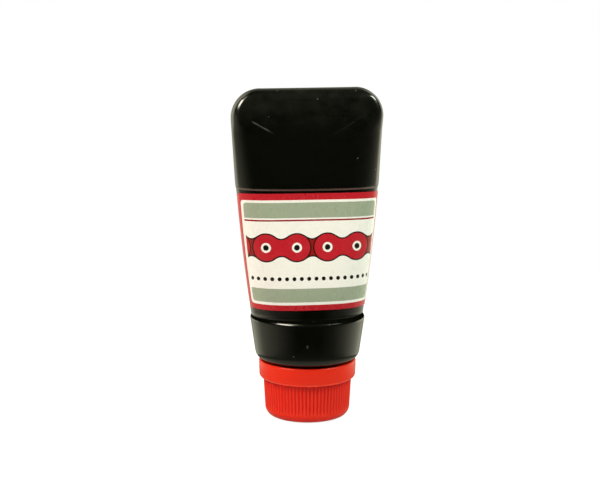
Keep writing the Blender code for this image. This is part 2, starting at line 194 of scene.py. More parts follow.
def makeWorld(look):
    # white to the camera, even light on the object, and for gloss a room, a backdrop and a lit cloth
    world = bpy.data.worlds.new("studio")
    bpy.context.scene.world = world
    world.use_nodes = True
    tree = world.node_tree
    tree.nodes.clear()
    ray = addNode(tree, "LightPath").outputs
    sight = addNode(tree, "TexCoord").outputs["Generated"]
    facing = {"Vector": sight, "Angle": -math.radians(cameraView["azimuth"])}
    square = addNode(tree, "VectorRotate", facing, rotation_type="Z_AXIS")
    across, ahead, rise = addNode(tree, "SeparateXYZ", (square,)).outputs
    toCamera = addNode(tree, "Math", (ahead, -1.0), operation="MULTIPLY")
    turn = addNode(tree, "Math", (across, toCamera), operation="ARCTAN2")
    away = addNode(tree, "Math", (turn,), operation="ABSOLUTE")
    soft = {"unit": 1.0, "interpolation_type": "SMOOTHSTEP"}
    sides = fadeIn(tree, roomWalls(tree, turn, look), [(rise, look["sideFade"])], **soft)
    above = fadeIn(tree, look["ceiling"], [(rise, look["ceilingFade"])], **soft)
    back = addNode(tree, "MapRange", (turn, *look["backJoin"], *look["backLevel"]))
    start, end, dim = look["backMiddle"]
    middle = addNode(tree, "MapRange", (away, math.radians(start), math.radians(end), 1.0, dim))
    back = addNode(tree, "Math", (back, middle), operation="MULTIPLY")
    edges = [(away, np.radians(look["backTurn"])), (rise, look["backFoot"]), (rise, look["backHead"])]
    back = fadeIn(tree, back, edges, **soft)
    edges = [(turn, np.radians(pair)) for pair in look["haloTurn"]]
    edges += [(rise, pair) for pair in look["haloRise"]]
    halo = fadeIn(tree, look["haloLevel"], edges, **soft)
    seen = addNode(tree, "Math", (sides, back), operation="MAXIMUM")
    for light in (above, halo):
        seen = addNode(tree, "Math", (seen, light), operation="ADD")
    even = addNode(tree, "Background", ("#ffffff", look["ambient"]))
    gloss = addNode(tree, "Background", (look["cardColour"], seen))
    white = addNode(tree, "Background", ("#ffffff", 1.0))
    bounces = (ray["Is Glossy Ray"], ray["Is Transmission Ray"])
    mirrored = addNode(tree, "Math", bounces, operation="MAXIMUM")
    lit = addNode(tree, "MixShader", (mirrored, even, gloss))
    shown = addNode(tree, "MixShader", (ray["Is Camera Ray"], lit, white))
    addNode(tree, "OutputWorld", (shown,))


def whiteLaminate(look):
    # Plain pale laminate: to the camera it is as white as the backdrop and keeps a soft shadow,
    # and gloss sees it close to the tube and the room past that
    material, tree, shader = newMaterial("matt white laminate")
    tree.nodes.remove(shader)
    ray = addNode(tree, "LightPath").outputs
    grain = addNode(tree, "TexNoise", {"Scale": perMetre(look["tableGrain"])})
    paint = addNode(tree, "Mix", (grain, *look["tableColours"]), data_type="RGBA")
    plain = addNode(tree, "BsdfDiffuse", (paint,))
    shade = look["tableShade"]
    soft = addNode(tree, "BsdfDiffuse", ((shade, shade, shade, 1.0),))
    glow = addNode(tree, "Emission", ("#ffffff", look["tableGlow"]))
    shown = addNode(tree, "AddShader", (soft, glow))
    away = addNode(tree, "VectorMath", (addNode(tree, "TexCoord").outputs["Object"],), operation="LENGTH")
    (near, bright), (far, dim) = look["tableGloss"]
    level = addNode(tree, "MapRange", (away, near, far, bright, dim), interpolation_type="SMOOTHSTEP")
    close = addNode(tree, "Emission", (look["cardColour"], level))
    past = addNode(tree, "Math", (away, look["tableSeen"]), operation="GREATER_THAN")
    gloss = addNode(tree, "MixShader", (past, close, addNode(tree, "BsdfTransparent")))
    bounced = addNode(tree, "MixShader", (ray["Is Glossy Ray"], plain, gloss))
    whole = addNode(tree, "MixShader", (ray["Is Camera Ray"], bounced, shown))
    setInputs(tree, tree.nodes["Material Output"], {"Surface": whole})
    return material


def makeTable(look):
    mesh = bpy.data.meshes.new("table_top")
    shape = bmesh.new()
    bmesh.ops.create_circle(shape, cap_ends=True, segments=96, radius=look["tableRadius"])
    shape.to_mesh(mesh)
    shape.free()
    table = bpy.data.objects.new("table_top", mesh)
    bpy.context.scene.collection.objects.link(table)
    mesh.materials.append(whiteLaminate(look))
    table.location.z = -look["tableDrop"]


for lampName, lamp in studio["lamps"].items():
    makeLamp(lampName, lamp, studio)
makeWorld(studio)
makeTable(studio)
print("studio lit")

# Sizes that the pieces share, in millimetres, as in the solids
fits = {
    "capHeight": 24.7,
    "capRim": 25.0,            # underside of the collar
    "neckRadius": 15.2,
    "neckRim": 4.7,
    "neckBore": 13.8,
    "capBore": 16.8,
    "threadPitch": 4.23,
    "threadFade": 8.0,         # the thread tapers out over one eighth of a turn
    "lipTop": 44.7,
    "lipCorner": 0.6,          # room for the lip's edge under the label panel
    "recessTop": 100.1,
    "recessEdge": 1.2,
    "tubeTop": 142.0,
    "wall": 1.1,
    "quarterPoints": 44,
}
fits["panelFoot"] = fits["lipTop"] + fits["lipCorner"]
fits["panelTop"] = fits["recessTop"] - fits["recessEdge"]


def mixed(first, last, share):
    return tuple(a + (b - a) * share for a, b in zip(first, last))


def inset(section, amount):
    return (section[0] - amount, section[1] - amount, section[2])


def quarterCurve(section):
    # quarter of a flat-faced oval from its side to its face: length so far, even measure, x and y
    halfWidth, halfDepth, squareness = section
    angle = 0.5 * math.pi * (1.0 - np.linspace(1.0, 0.0, 800) ** 3)
    x = halfWidth * np.clip(np.cos(angle), 0.0, 1.0) ** (2.0 / squareness)
    y = halfDepth * np.sin(angle)
    steps = np.hypot(np.diff(x), np.diff(y))
    heading = np.unwrap(np.arctan2(np.diff(y), np.diff(x)))
    turning = np.abs(np.diff(heading, prepend=heading[0]))
    measure = np.concatenate([[0.0], np.cumsum(steps / steps.sum() + turning / turning.sum())])
    return np.concatenate([[0.0], np.cumsum(steps)]), measure / measure[-1], x, y


def ovalRing(section, height, bow=0.0, slope=0.0):
    # points crowd at the parting line on each side, where a fine bead stands
    length, measure, xs, ys = quarterCurve(section)
    seam = np.array([0.0, 0.1, 0.2, 0.3, 0.42, 0.6])
    seam = seam[seam < 0.2 * length[-1]]
    start = np.interp(seam[-1], length, measure)
    rest = np.linspace(start, 1.0, fits["quarterPoints"] + 2 - len(seam))[1:]
    stops = np.concatenate([np.interp(seam, length, measure), rest])
    x = np.interp(stops, measure, xs)
    y = np.interp(stops, measure, ys)
    x = np.concatenate([x[:-1], -x[:0:-1], -x[:-1], x[:0:-1]])
    y = np.concatenate([y[:-1], y[:0:-1], -y[:-1], -y[:0:-1]])
    z = height + bow * (x / section[0]) ** 2 + slope * x
    return np.column_stack([x, y, z])


def roundRing(radius, height):
    return ovalRing((radius, radius, 2.0), height)


def arcPoints(radius, height, reach, start, end, steps):
    # points of a round bend in a turned profile, in degrees from level and outwards
    turn = np.radians(np.linspace(start, end, steps + 1))
    return np.column_stack([radius + reach * np.cos(turn), height + reach * np.sin(turn)])


def skinRings(name, rings, sharp=40.0, hollow=False):
    # closed mesh through rings of equal count: a hollow one joins its last ring to its first,
    # and any other has flat strips over both ends
    count = len(rings[0])
    points = np.vstack(rings) * mm
    faces = []
    for ring in range(len(rings) if hollow else len(rings) - 1):
        a, b = ring * count, (ring + 1) % len(rings) * count
        faces += [(a + i, a + (i + 1) % count, b + (i + 1) % count, b + i) for i in range(count)]
    for first in () if hollow else (0, (len(rings) - 1) * count):
        for i in range(count // 2):
            strip = (i, i + 1, (count - i - 1) % count, (count - i) % count)
            faces.append(tuple(dict.fromkeys(first + step for step in strip)))
    mesh = bpy.data.meshes.new(name)
    mesh.from_pydata(points.tolist(), [], faces)
    finishMesh(mesh, sharp)
    return mesh


def finishMesh(mesh, sharp):
    shape = bmesh.new()
    shape.from_mesh(mesh)
    bmesh.ops.recalc_face_normals(shape, faces=shape.faces)
    shape.to_mesh(mesh)
    shape.free()
    mesh.shade_smooth()
    mesh.set_sharp_from_angle(angle=math.radians(sharp))


def turnedRings(profile, count):
    angle = 2.0 * math.pi * np.arange(count) / count
    return [np.column_stack([r * np.cos(angle), r * np.sin(angle), np.full(count, z)]) for r, z in profile]


def addPiece(name, mesh, material, body, node):
    piece = bpy.data.objects.new(name, mesh)
    bpy.context.scene.collection.objects.link(piece)
    mesh.materials.append(material)
    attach(piece, body)
    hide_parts(node)


def threadRise(turn, height, first, shape):
    # how far the thread stands out at a place: a right-hand ridge that tapers in and out at its ends
    pitch = fits["threadPitch"]
    crest, foot = shape["threadRidge"]
    lead = (height - first) / pitch - turn
    along = turn + np.round(lead)
    off = np.abs(lead - np.round(lead)) * pitch
    ridge = np.clip((foot - off) / (foot - crest), 0.0, 1.0)
    fade = np.clip(np.minimum(along, shape["threadTurns"] - along) * fits["threadFade"], 0.0, 1.0)
    return shape["threadHeight"] * ridge * fade


# Tube: one blow-moulded bottle, round at the collar and flat at the tail
tube = {
    "panelFoot": (24.6, 15.2, 2.6),      # half width, half depth, squareness
    "panelTop": (30.7, 9.8, 5.0),
    "tailFoot": (31.1, 10.8, 5.0),
    "tailEnd": (33.6, 4.8, 7.0),
    "tailCorner": 13.0,
    "tailEdge": 4.8,                     # the end closes over this height
    "tailSlope": 0.014,
    "finHeights": (123.0, 132.0),        # the bulged wedge turns into a flat fin with tight sides
    "finSquareness": 16.0,
    "recessBow": 0.9,
    "lipRadius": 24.8,
    "lipRounding": 2.0,
    "lipStart": 47.0,                    # degrees, where the rounding leaves the ledge with an edge
    "collarTaper": -6.0,                 # degrees, the collar narrows towards its foot
    "collarFoot": 22.8,
    "collarRounding": 4.3,
    "shoulder": (17.4, 16.2),            # rings of the flat floor between collar and neck
    "neckStart": 0.3,                    # first row of the neck's wall under that floor
    "cavityCorner": 0.4,                 # the cavity narrows by this under the ledge
    "cavityRise": 2.0,                   # and its tail part starts this far over the recess
    "endWall": 2.6,
    "panelBulge": 0.4,                   # the panel's sides bow out this much at half height
    "beadHeight": 0.10,                  # parting line of the mould
    "beadRoom": 0.15,
    "beadWidth": 0.30,
    "beadStart": 3.0,                    # it starts this far over the collar's foot
    "creaseDepth": 0.07,
    "creaseWidth": 0.8,
    # shallow creases on the tail's front: both ends in x and z, then how plainly its bump and painted
    # highlight show at each end
    "creases": (((-24.8, 128.1), (-14.8, 122.5), (1.0, 0.4)), ((9.5, 121.9), (25.0, 131.6), (0.07, 0.10))),
    "threadHeight": 1.25,
    "threadRidge": (0.45, 0.95),         # half width of its crest and its foot
    "threadFirst": 6.6,
    "threadTurns": 1.75,
    "pipTurn": -9.7,                     # degrees from the front
    "pipPlace": 35.0,
    "pipRadius": 23.62,
    "pipTaper": 0.105,
    "pipWidth": 0.42,
    "pipNarrow": 0.35,                   # the wedge gets narrower downwards by this share
    "pipHeight": 0.9,
    "pipProud": 0.28,
    "pipSunk": 0.04,
    "pipPoints": 24,
    # marks on the finish, painted reflections and highlights among them, with the places in millimetres
    # over which each comes in
    "black": ("#050603", "#080905"),
    "filmColour": "#191a15",             # greasy film on the tail
    "filmHeights": (122.0, 132.0),
    "wallReflectionColour": "#1e1e1a",             # painted reflection along the foot of the panel, more to the sides
    "wallReflectionReach": (4.0, 16.0),
    "wallReflectionFoot": (0.02, 0.1),             # heights over the lip's top
    "wallReflectionHead": (5.3, 4.3),
    "nookReflectionColour": "#4c4c45",             # and brightest in the corner's ends, also painted reflection
    "nookReflectionReach": (12.0, 22.0),
    "nookReflectionHead": (1.9, 1.1),
    "rimHighlightColour": "#5e4a45",              # painted highlight along the edge of the recess over the label
    "rimDrop": 0.75,                     # under the recess's top
    "rimClimb": 0.52,                    # it rises by this times the squared distance aside, in metres
    "rimWidth": (0.5, 0.2),
    "creaseHighlightColour": "#54554f",
    "creaseEdge": (0.55, 0.0),
    "creaseEnds": ((0.0, 0.1), (1.0, 0.75)),   # shares of its length
    # painted highlight on the pip's tip
    "pipHighlightColour": "#3c3d37",
    "speckColour": "#4a4b45",
    "speckSpacing": 4.2,
    "speckSize": (0.11, 0.02),           # shares of the spacing
    "speckRarity": 0.72,
    "grimeEnds": ((-16.0, -19.0, 1.0), (2.0, 6.0, 0.94), (11.0, 14.0, 1.0)),   # from x, to x, how much
    "grimeLip": (-0.9, -0.87),           # heights over the lip's top
    "grimeLedge": (-0.04, -0.01),
    "grimeHead": (0.6, 0.4),
}


def tailSection(height, shape):
    share = (height - fits["recessTop"]) / (fits["tubeTop"] - fits["recessTop"])
    halfWidth, halfDepth, squareness = mixed(shape["tailFoot"], shape["tailEnd"], share)
    corner, edge = shape["tailCorner"], shape["tailEdge"]
    intoCorner = max(0.0, height - (fits["tubeTop"] - corner))
    halfWidth -= corner - math.sqrt(corner ** 2 - intoCorner ** 2)
    low, high = shape["finHeights"]
    flat = min(1.0, max(0.0, (height - low) / (high - low)))
    squareness += shape["finSquareness"] * flat * flat * (3.0 - 2.0 * flat)
    intoEdge = max(0.0, height - (fits["tubeTop"] - edge)) / edge
    return (halfWidth, halfDepth * math.sqrt(1.0 - intoEdge ** 2), squareness)


def panelSection(height, shape):
    share = (height - fits["panelFoot"]) / (fits["panelTop"] - fits["panelFoot"])
    halfWidth, halfDepth, squareness = mixed(shape["panelFoot"], shape["panelTop"], share)
    return (halfWidth + shape["panelBulge"] * 4.0 * share * (1.0 - share), halfDepth, squareness)


def tubeSkin(shape):
    # from the closed end down over the recess, the panel, the ledge, the collar and the neck, then inside
    rings = []
    bead = shape["beadRoom"]
    top, foot = fits["tubeTop"], fits["recessTop"]
    edge, corner = shape["tailEdge"], shape["tailCorner"]
    closing = [top - edge * (1.0 - math.sin(math.radians(turn))) for turn in range(88, -1, -4)]
    cornerLow = list(np.linspace(top - edge, top - corner, 13)[1:])
    face = list(np.linspace(top - corner, foot + fits["recessEdge"] + shape["recessBow"], 48)[1:])
    for height in closing + cornerLow + face:
        slope = shape["tailSlope"] * (height - foot) / (top - foot)
        section = tailSection(height, shape)
        rings.append(ovalRing((section[0] - bead, *section[1:]), height - bead, slope=slope))
    for step in np.linspace(0.0, 1.0, 11):
        into = step * step * (3.0 - 2.0 * step)
        section = mixed(shape["tailFoot"], shape["panelTop"], into)
        bow = shape["recessBow"] * (1.0 - step)
        rings.append(ovalRing((section[0] - bead, *section[1:]), foot - step * fits["recessEdge"], bow))
    for height in np.linspace(fits["panelTop"], fits["lipTop"], 36)[1:]:
        section = panelSection(height, shape)
        rings.append(ovalRing((section[0] - bead, *section[1:]), height))
    rings += ledgeRings(rings[-1], shape)
    rings += neckRings(shape)
    outerCount = len(rings)
    rings += cavityRings(shape)
    return rings, outerCount


def lipRing(degrees, shape):
    bend = shape["lipRounding"]
    turn, start = math.radians(degrees), math.radians(shape["lipStart"])
    radius = shape["lipRadius"] - bend * (1.0 - math.cos(turn))
    return roundRing(radius, fits["lipTop"] - bend * (math.sin(start) - math.sin(turn)))


def ledgeRings(panel, shape):
    # crisp corner from the panel to the crescent ledge, round lip, then the tapered collar
    edge = lipRing(shape["lipStart"], shape)
    taper = shape["collarTaper"]
    rings = [panel + (edge - panel) * share for share in (0.3, 0.6, 0.9, 1.0)]
    rings += [lipRing(degrees, shape) for degrees in np.linspace(shape["lipStart"], taper, 10)[1:]]
    bend = shape["collarRounding"]
    foot = arcPoints(shape["collarFoot"] - bend, fits["capRim"] + bend, bend, taper, -90.0, 12)
    low = roundRing(*foot[0])
    rings += [rings[-1] + (low - rings[-1]) * share for share in np.linspace(0.0, 1.0, 14)[1:]]
    rings += [roundRing(radius, height) for radius, height in foot[1:]]
    return rings


def neckRings(shape):
    neck = fits["neckRadius"]
    rings = [roundRing(radius, fits["capRim"]) for radius in (*shape["shoulder"], neck)]
    for height in np.linspace(fits["capRim"] - shape["neckStart"], fits["neckRim"], 68):
        ring = roundRing(neck, height)
        turn = np.arctan2(ring[:, 1], ring[:, 0]) / (2.0 * math.pi) % 1.0
        rise = threadRise(turn, height, shape["threadFirst"], shape)
        ring[:, :2] *= (1.0 + rise / neck)[:, None]
        rings.append(ring)
    return rings


def cavityRings(shape):
    wall = fits["wall"]
    bore = fits["neckBore"]
    bend = shape["collarRounding"] - wall
    floor = fits["capRim"] + wall
    profile = [(bore, fits["neckRim"]), (bore, floor)]
    bendRadius = shape["collarFoot"] - shape["collarRounding"]
    profile += list(arcPoints(bendRadius, floor + bend, bend, -90.0, 0.0, 8))
    lip = shape["lipRadius"] - wall
    profile += [(lip, fits["lipTop"] - 2.0 * wall), (lip - shape["cavityCorner"], fits["lipTop"] - wall)]
    rings = [roundRing(radius, height) for radius, height in profile]
    for height in np.linspace(fits["panelFoot"], fits["panelTop"], 12):
        rings.append(ovalRing(inset(panelSection(height, shape), wall), height))
    top = fits["tubeTop"] - shape["endWall"]
    for height in np.linspace(fits["recessTop"] + shape["cavityRise"], top, 16):
        rings.append(ovalRing(inset(tailSection(height, shape), wall), height))
    return rings


def mouldMarks(mesh, outerVertices, shape):
    # raises the parting bead and sinks the creases along the surface's own normals
    count = len(mesh.vertices)
    place = np.zeros(count * 3)
    normal = np.zeros(count * 3)
    mesh.vertices.foreach_get("co", place)
    mesh.vertices.foreach_get("normal", normal)
    place = place.reshape(-1, 3) / mm
    normal = normal.reshape(-1, 3)
    x, y, z = place.T
    outer = np.arange(count) < outerVertices
    bead = np.clip(1.0 - (np.abs(y) / shape["beadWidth"]) ** 2, 0.0, 1.0) ** 1.5
    start = shape["beadStart"]
    bead *= np.clip((z - fits["capRim"] - start) / start, 0.0, 1.0) * outer
    crease = np.zeros(count)
    for (startX, startZ), (endX, endZ), _ in shape["creases"]:
        along = (x - startX) / (endX - startX)
        off = z - (startZ + (endZ - startZ) * along)
        ends = np.clip(np.minimum(along, 1.0 - along) * 5.0, 0.0, 1.0)
        crease += np.exp(-(off / shape["creaseWidth"]) ** 2) * ends * outer * (y < -2.0)
    shift = shape["beadHeight"] * bead - shape["creaseDepth"] * crease
    mesh.vertices.foreach_set("co", ((place + normal * shift[:, None]) * mm).ravel())
    mesh.update()


def addPip(mesh, shape):
    # a small raised wedge that the mould left on the front of the collar
    spot = math.radians(shape["pipTurn"])
    radius, narrow, count = shape["pipRadius"], shape["pipNarrow"], shape["pipPoints"]
    out = bmesh.new()
    out.from_mesh(mesh)
    rings = []
    for share in (1.0, 0.8, 0.55, 0.3):
        ring = []
        proud = shape["pipProud"] * (1.0 - share ** 2) - shape["pipSunk"]
        for turn in np.linspace(0.0, 2.0 * math.pi, count + 1)[:-1]:
            rise = share * math.sin(turn) * shape["pipHeight"]
            taper = 1.0 - narrow + narrow * math.sin(turn)
            angle = spot + share * math.cos(turn) * shape["pipWidth"] * taper / radius
            reach = radius + shape["pipTaper"] * rise + proud
            place = (reach * math.sin(angle), -reach * math.cos(angle), shape["pipPlace"] + rise)
            ring.append(out.verts.new(Vector(place) * mm))
        rings.append(ring)
    for lower, upper in zip(rings, rings[1:]):
        for i in range(count):
            after = (i + 1) % count
            out.faces.new((lower[i], lower[after], upper[after], upper[i])).smooth = True
    out.faces.new(rings[-1]).smooth = True
    out.faces.new(list(reversed(rings[0])))
    out.to_mesh(mesh)
    out.free()


def alongLine(tree, z, line, width, level):
    # the level on a line that stands that high, faded out to both sides
    off = addNode(tree, "Math", (z, line), operation="SUBTRACT")
    apart = addNode(tree, "Math", (off,), operation="ABSOLUTE")
    return fadeIn(tree, level, [(apart, width)], interpolation_type="SMOOTHSTEP")


def creaseField(tree, at, place, shape):
    # painted highlight and bump height along each crease on the front, uneven along its length
    x, y, z = place
    mottle = addNode(tree, "TexNoise", (at, perMetre(2.2), 2.0))
    patchy = addNode(tree, "MapRange", (mottle, 0.35, 0.6, 0.35))
    front = addNode(tree, "Math", (y, 0.0), operation="LESS_THAN")
    worn = addNode(tree, "Math", (patchy, front), operation="MULTIPLY")
    whole = 0.0
    for (startX, startZ), (endX, endZ), plain in shape["creases"]:
        across = (x, startX * mm, endX * mm)
        line = addNode(tree, "MapRange", (*across, startZ * mm, endZ * mm), clamp=False)
        level = addNode(tree, "MapRange", (*across, *plain))
        along = addNode(tree, "MapRange", across, clamp=False)
        ridge = alongLine(tree, z, line, shape["creaseEdge"], level)
        ridge = fadeIn(tree, ridge, [(along, pair) for pair in shape["creaseEnds"]], unit=1.0)
        ridge = addNode(tree, "Math", (ridge, worn), operation="MULTIPLY")
        whole = addNode(tree, "Math", (whole, ridge), operation="MAXIMUM")
    return whole


def pipHighlight(tree, at, place, shape):
    # painted highlight on the tip of the small wedge on the collar
    aside = shape["pipRadius"] * math.sin(math.radians(shape["pipTurn"]))
    middle = (aside * mm, 0.0, shape["pipPlace"] * mm)
    spread = (perMetre(shape["pipWidth"]), 0.0, perMetre(shape["pipHeight"]))
    off = addNode(tree, "VectorMath", (at, middle), operation="SUBTRACT")
    share = addNode(tree, "VectorMath", (off, spread), operation="MULTIPLY")
    reach = addNode(tree, "VectorMath", (share,), operation="LENGTH")
    front = addNode(tree, "Math", (place[1], 0.0), operation="LESS_THAN")
    return fadeIn(tree, front, [(reach, (1.0, 0.5))], unit=1.0)


def tailFilm(tree, at, z, shape):
    patch = addNode(tree, "TexNoise", (at, perMetre(9.0), 5.0, 0.65))
    blotch = addNode(tree, "MapRange", (patch, 0.4, 0.7, 0.0, 0.8))
    return fadeIn(tree, blotch, [(z, shape["filmHeights"])], interpolation_type="SMOOTHSTEP")


def recessEdgeHighlight(tree, aside, z, shape):
    # painted highlight: a light line along the recess's edge, climbing to the sides
    sides = addNode(tree, "Math", (aside, 2.0), operation="POWER")
    line = (sides, shape["rimClimb"], (fits["recessTop"] - shape["rimDrop"]) * mm)
    rim = addNode(tree, "Math", line, operation="MULTIPLY_ADD")
    return alongLine(tree, z, rim, shape["rimWidth"], 1.0)


def dustSpecks(tree, at, shape):
    # a round speck in a few cells, picked by the cell's random colour
    cell = addNode(tree, "TexVoronoi", (at, perMetre(shape["speckSpacing"])))
    pick = addNode(tree, "SeparateXYZ", (cell.outputs["Color"],))
    rare = addNode(tree, "Math", (pick, shape["speckRarity"]), operation="GREATER_THAN")
    return fadeIn(tree, rare, [(cell.outputs["Distance"], shape["speckSize"])], unit=1.0)


def ledgeGrime(tree, x, rise, shape):
    # matt dirt on the crescent ledge and on stretches of the lip
    lip = 0.0
    for near, full, most in shape["grimeEnds"]:
        part = addNode(tree, "MapRange", (x, near * mm, full * mm, 0.0, most))
        lip = addNode(tree, "Math", (lip, part), operation="MAXIMUM")
    lip = fadeIn(tree, lip, [(rise, shape["grimeLip"])])
    ledge = fadeIn(tree, 1.0, [(rise, shape["grimeLedge"])])
    over = addNode(tree, "Math", (lip, ledge), operation="MAXIMUM")
    return fadeIn(tree, over, [(rise, shape["grimeHead"])])


def blackPolyethylene(shape):
    # Blow-moulded black HDPE: deep black with a wet satin gloss, faint orange peel, dust specks and
    # rubbing, and painted reflections and highlights on the wall under the label, the recess edge, the
    # creases and the pip
    material, tree, shader = newMaterial("blow-moulded black HDPE")
    at = addNode(tree, "TexCoord").outputs["Object"]
    place = tuple(addNode(tree, "SeparateXYZ", (at,)).outputs)
    x, _, z = place
    aside = addNode(tree, "Math", (x,), operation="ABSOLUTE")
    rise = addNode(tree, "Math", (z, fits["lipTop"] * mm), operation="SUBTRACT")
    # painted reflection on the wall under the label, lighter towards the sides and brightest in the
    # corner's ends
    heights = [(rise, shape["wallReflectionFoot"]), (rise, shape["wallReflectionHead"])]
    wallReflection = fadeIn(tree, 1.0, [(aside, shape["wallReflectionReach"])] + heights)
    nookReflection = fadeIn(tree, wallReflection, [(aside, shape["nookReflectionReach"])] * 2 + [(rise, shape["nookReflectionHead"])])
    crease = creaseField(tree, at, place, shape)
    specks = dustSpecks(tree, at, shape)
    marks = (
        (tailFilm(tree, at, z, shape), "filmColour"),
        (wallReflection, "wallReflectionColour"),
        (nookReflection, "nookReflectionColour"),
        (recessEdgeHighlight(tree, aside, z, shape), "rimHighlightColour"),
        (crease, "creaseHighlightColour"),
        (pipHighlight(tree, at, place, shape), "pipHighlightColour"),
        (specks, "speckColour"),
    )
    cloud = addNode(tree, "TexNoise", (at, perMetre(14.0), 3.0))
    colour = addNode(tree, "Mix", (cloud, *shape["black"]), data_type="RGBA")
    for mask, mark in marks:
        colour = addNode(tree, "Mix", (mask, colour, shape[mark]), data_type="RGBA")
    sheen = addNode(tree, "MapRange", (ledgeGrime(tree, x, rise, shape), 0.0, 1.0, 0.5, 0.0))
    rub = addNode(tree, "TexNoise", (at, perMetre(5.0), 5.0, 0.6))
    worn = addNode(tree, "MapRange", (rub, 0.3, 0.7, 0.13, 0.21))
    rough = addNode(tree, "Math", (specks, 0.4, worn), operation="MULTIPLY_ADD")
    peel = addNode(tree, "TexNoise", (at, perMetre(1.6), 2.0))
    bump = addNode(tree, "Bump", {"Height": peel, "Strength": 0.06, "Distance": 0.05 * mm})
    fold = addNode(tree, "Bump", {"Height": crease, "Strength": 1.0, "Distance": 0.2 * mm, "Normal": bump})
    setInputs(tree, shader, {"Base Color": colour, "Specular IOR Level": sheen, "Roughness": rough,
                             "Normal": fold, "IOR": 1.52})
    return material


def makeTube(shape):
    rings, outerCount = tubeSkin(shape)
    mesh = skinRings("tube_shell", rings, 24.0)
    mouldMarks(mesh, outerCount * len(rings[0]), shape)
    addPip(mesh, shape)
    addPiece("tube_shell", mesh, blackPolyethylene(shape), "tube", "tube_body")


makeTube(tube)
print("tube made")

# Label: printed film on the front of the recess
label = {
    "foot": 48.75,
    "top": 98.0,
    "seamMargin": 1.0,
    "corner": 3.0,
    "sunk": 0.03,              # the film's back lies on the panel
    "proud": 0.14,
    "columns": 104,
    "rows": 56,
    "border": 2.35,            # red edge
    "headExtra": 0.4,          # the red edge is that much wider along the top
    "sideShare": 0.7,          # distances from the sides count for less, so it is wider there too
    "keyLine": 1.05,           # white line inside it
    "cornerSoftness": 2.2,
    "inkEdge": 0.05,
    "ground": "#b71b27",
    "paper": "#ebe9e3",
    "silver": "#96a08a",
    "ink": "#15130f",
    "deepRed": "#8e120f",
    "bands": ((42.4, 6.8, "silver"), (38.0, 0.7, "deepRed"), (6.4, 5.8, "silver")),   # middle, width, ink
    "chainHeight": 26.6,       # middle of the row of links above the label's foot
    "chainPitch": 13.0,
    "linkRadius": 5.6,
    "linkWaist": 3.3,
    "linkSoftness": 2.2,
    "pinRadius": 2.1,
    "pinWall": 0.9,
    "outline": 0.55,
    "dotHeight": 13.4,
    "dotPitch": 3.1,
    "dotRadius": 0.85,
}


def labelMesh(shape):
    # a front and a back sheet on the panel's own curve, joined round the edge,
    # and for the print each point's place on the flat label
    height = shape["top"] - shape["foot"]
    corner = shape["corner"]
    rounding = [corner * (1.0 - math.cos(turn)) for turn in np.linspace(0.0, math.pi / 2, 7)]
    middle = list(np.linspace(corner, height - corner, shape["rows"])[1:-1])
    rises = rounding + middle + [height - rise for rise in reversed(rounding)]
    columns = np.linspace(-1.0, 1.0, shape["columns"] + 1)
    front, back, prints = [], [], []
    for rise in rises:
        cut = corner - min(rise, height - rise, corner)
        margin = shape["seamMargin"] + corner - math.sqrt(max(0.0, corner ** 2 - cut ** 2))
        for offset, sheet in ((shape["proud"], front), (-shape["sunk"], back)):
            section = inset(panelSection(shape["foot"] + rise, tube), -offset)
            length, _, xs, ys = quarterCurve(section)
            reach = columns * (length[-1] - margin)
            fromSide = length[-1] - np.abs(reach)
            x = np.sign(reach) * np.interp(fromSide, length, xs)
            y = -np.interp(fromSide, length, ys)
            sheet.append(np.column_stack([x, y, np.full_like(x, shape["foot"] + rise)]))
        edge = length[-1] - shape["seamMargin"] - np.abs(reach)
        prints.append(np.column_stack([reach, np.full_like(reach, rise), edge]))
    points = np.vstack(front + back) * mm
    wide, tall = len(columns), len(rises)
    half = wide * tall
    faces = []
    for row in range(tall - 1):
        for column in range(wide - 1):
            a = row * wide + column
            quad = (a, a + 1, a + 1 + wide, a + wide)
            faces.append(quad)
            faces.append(tuple(half + step for step in reversed(quad)))
    rim = list(range(wide)) + [row * wide + wide - 1 for row in range(1, tall)]
    rim += [half - 1 - step for step in range(1, wide)] + [row * wide for row in range(tall - 2, 0, -1)]
    for a, b in zip(rim, rim[1:] + rim[:1]):
        faces.append((a, half + a, half + b, b))
    mesh = bpy.data.meshes.new("label_film")
    mesh.from_pydata(points.tolist(), [], faces)
    place = mesh.attributes.new("printPlace", "FLOAT_VECTOR", "POINT")
    place.data.foreach_set("vector", np.vstack(prints + prints).astype(np.float32).ravel())
    finishMesh(mesh, 50.0)
    return mesh


def bandLayers(tree, up, shape):
    layers = []
    for middle, width, ink in shape["bands"]:
        off = addNode(tree, "Math", (up, middle), operation="SUBTRACT")
        apart = addNode(tree, "Math", (off,), operation="ABSOLUTE")
        layers.append((addNode(tree, "Math", (apart, 0.5 * width), operation="SUBTRACT"), ink))
    return layers


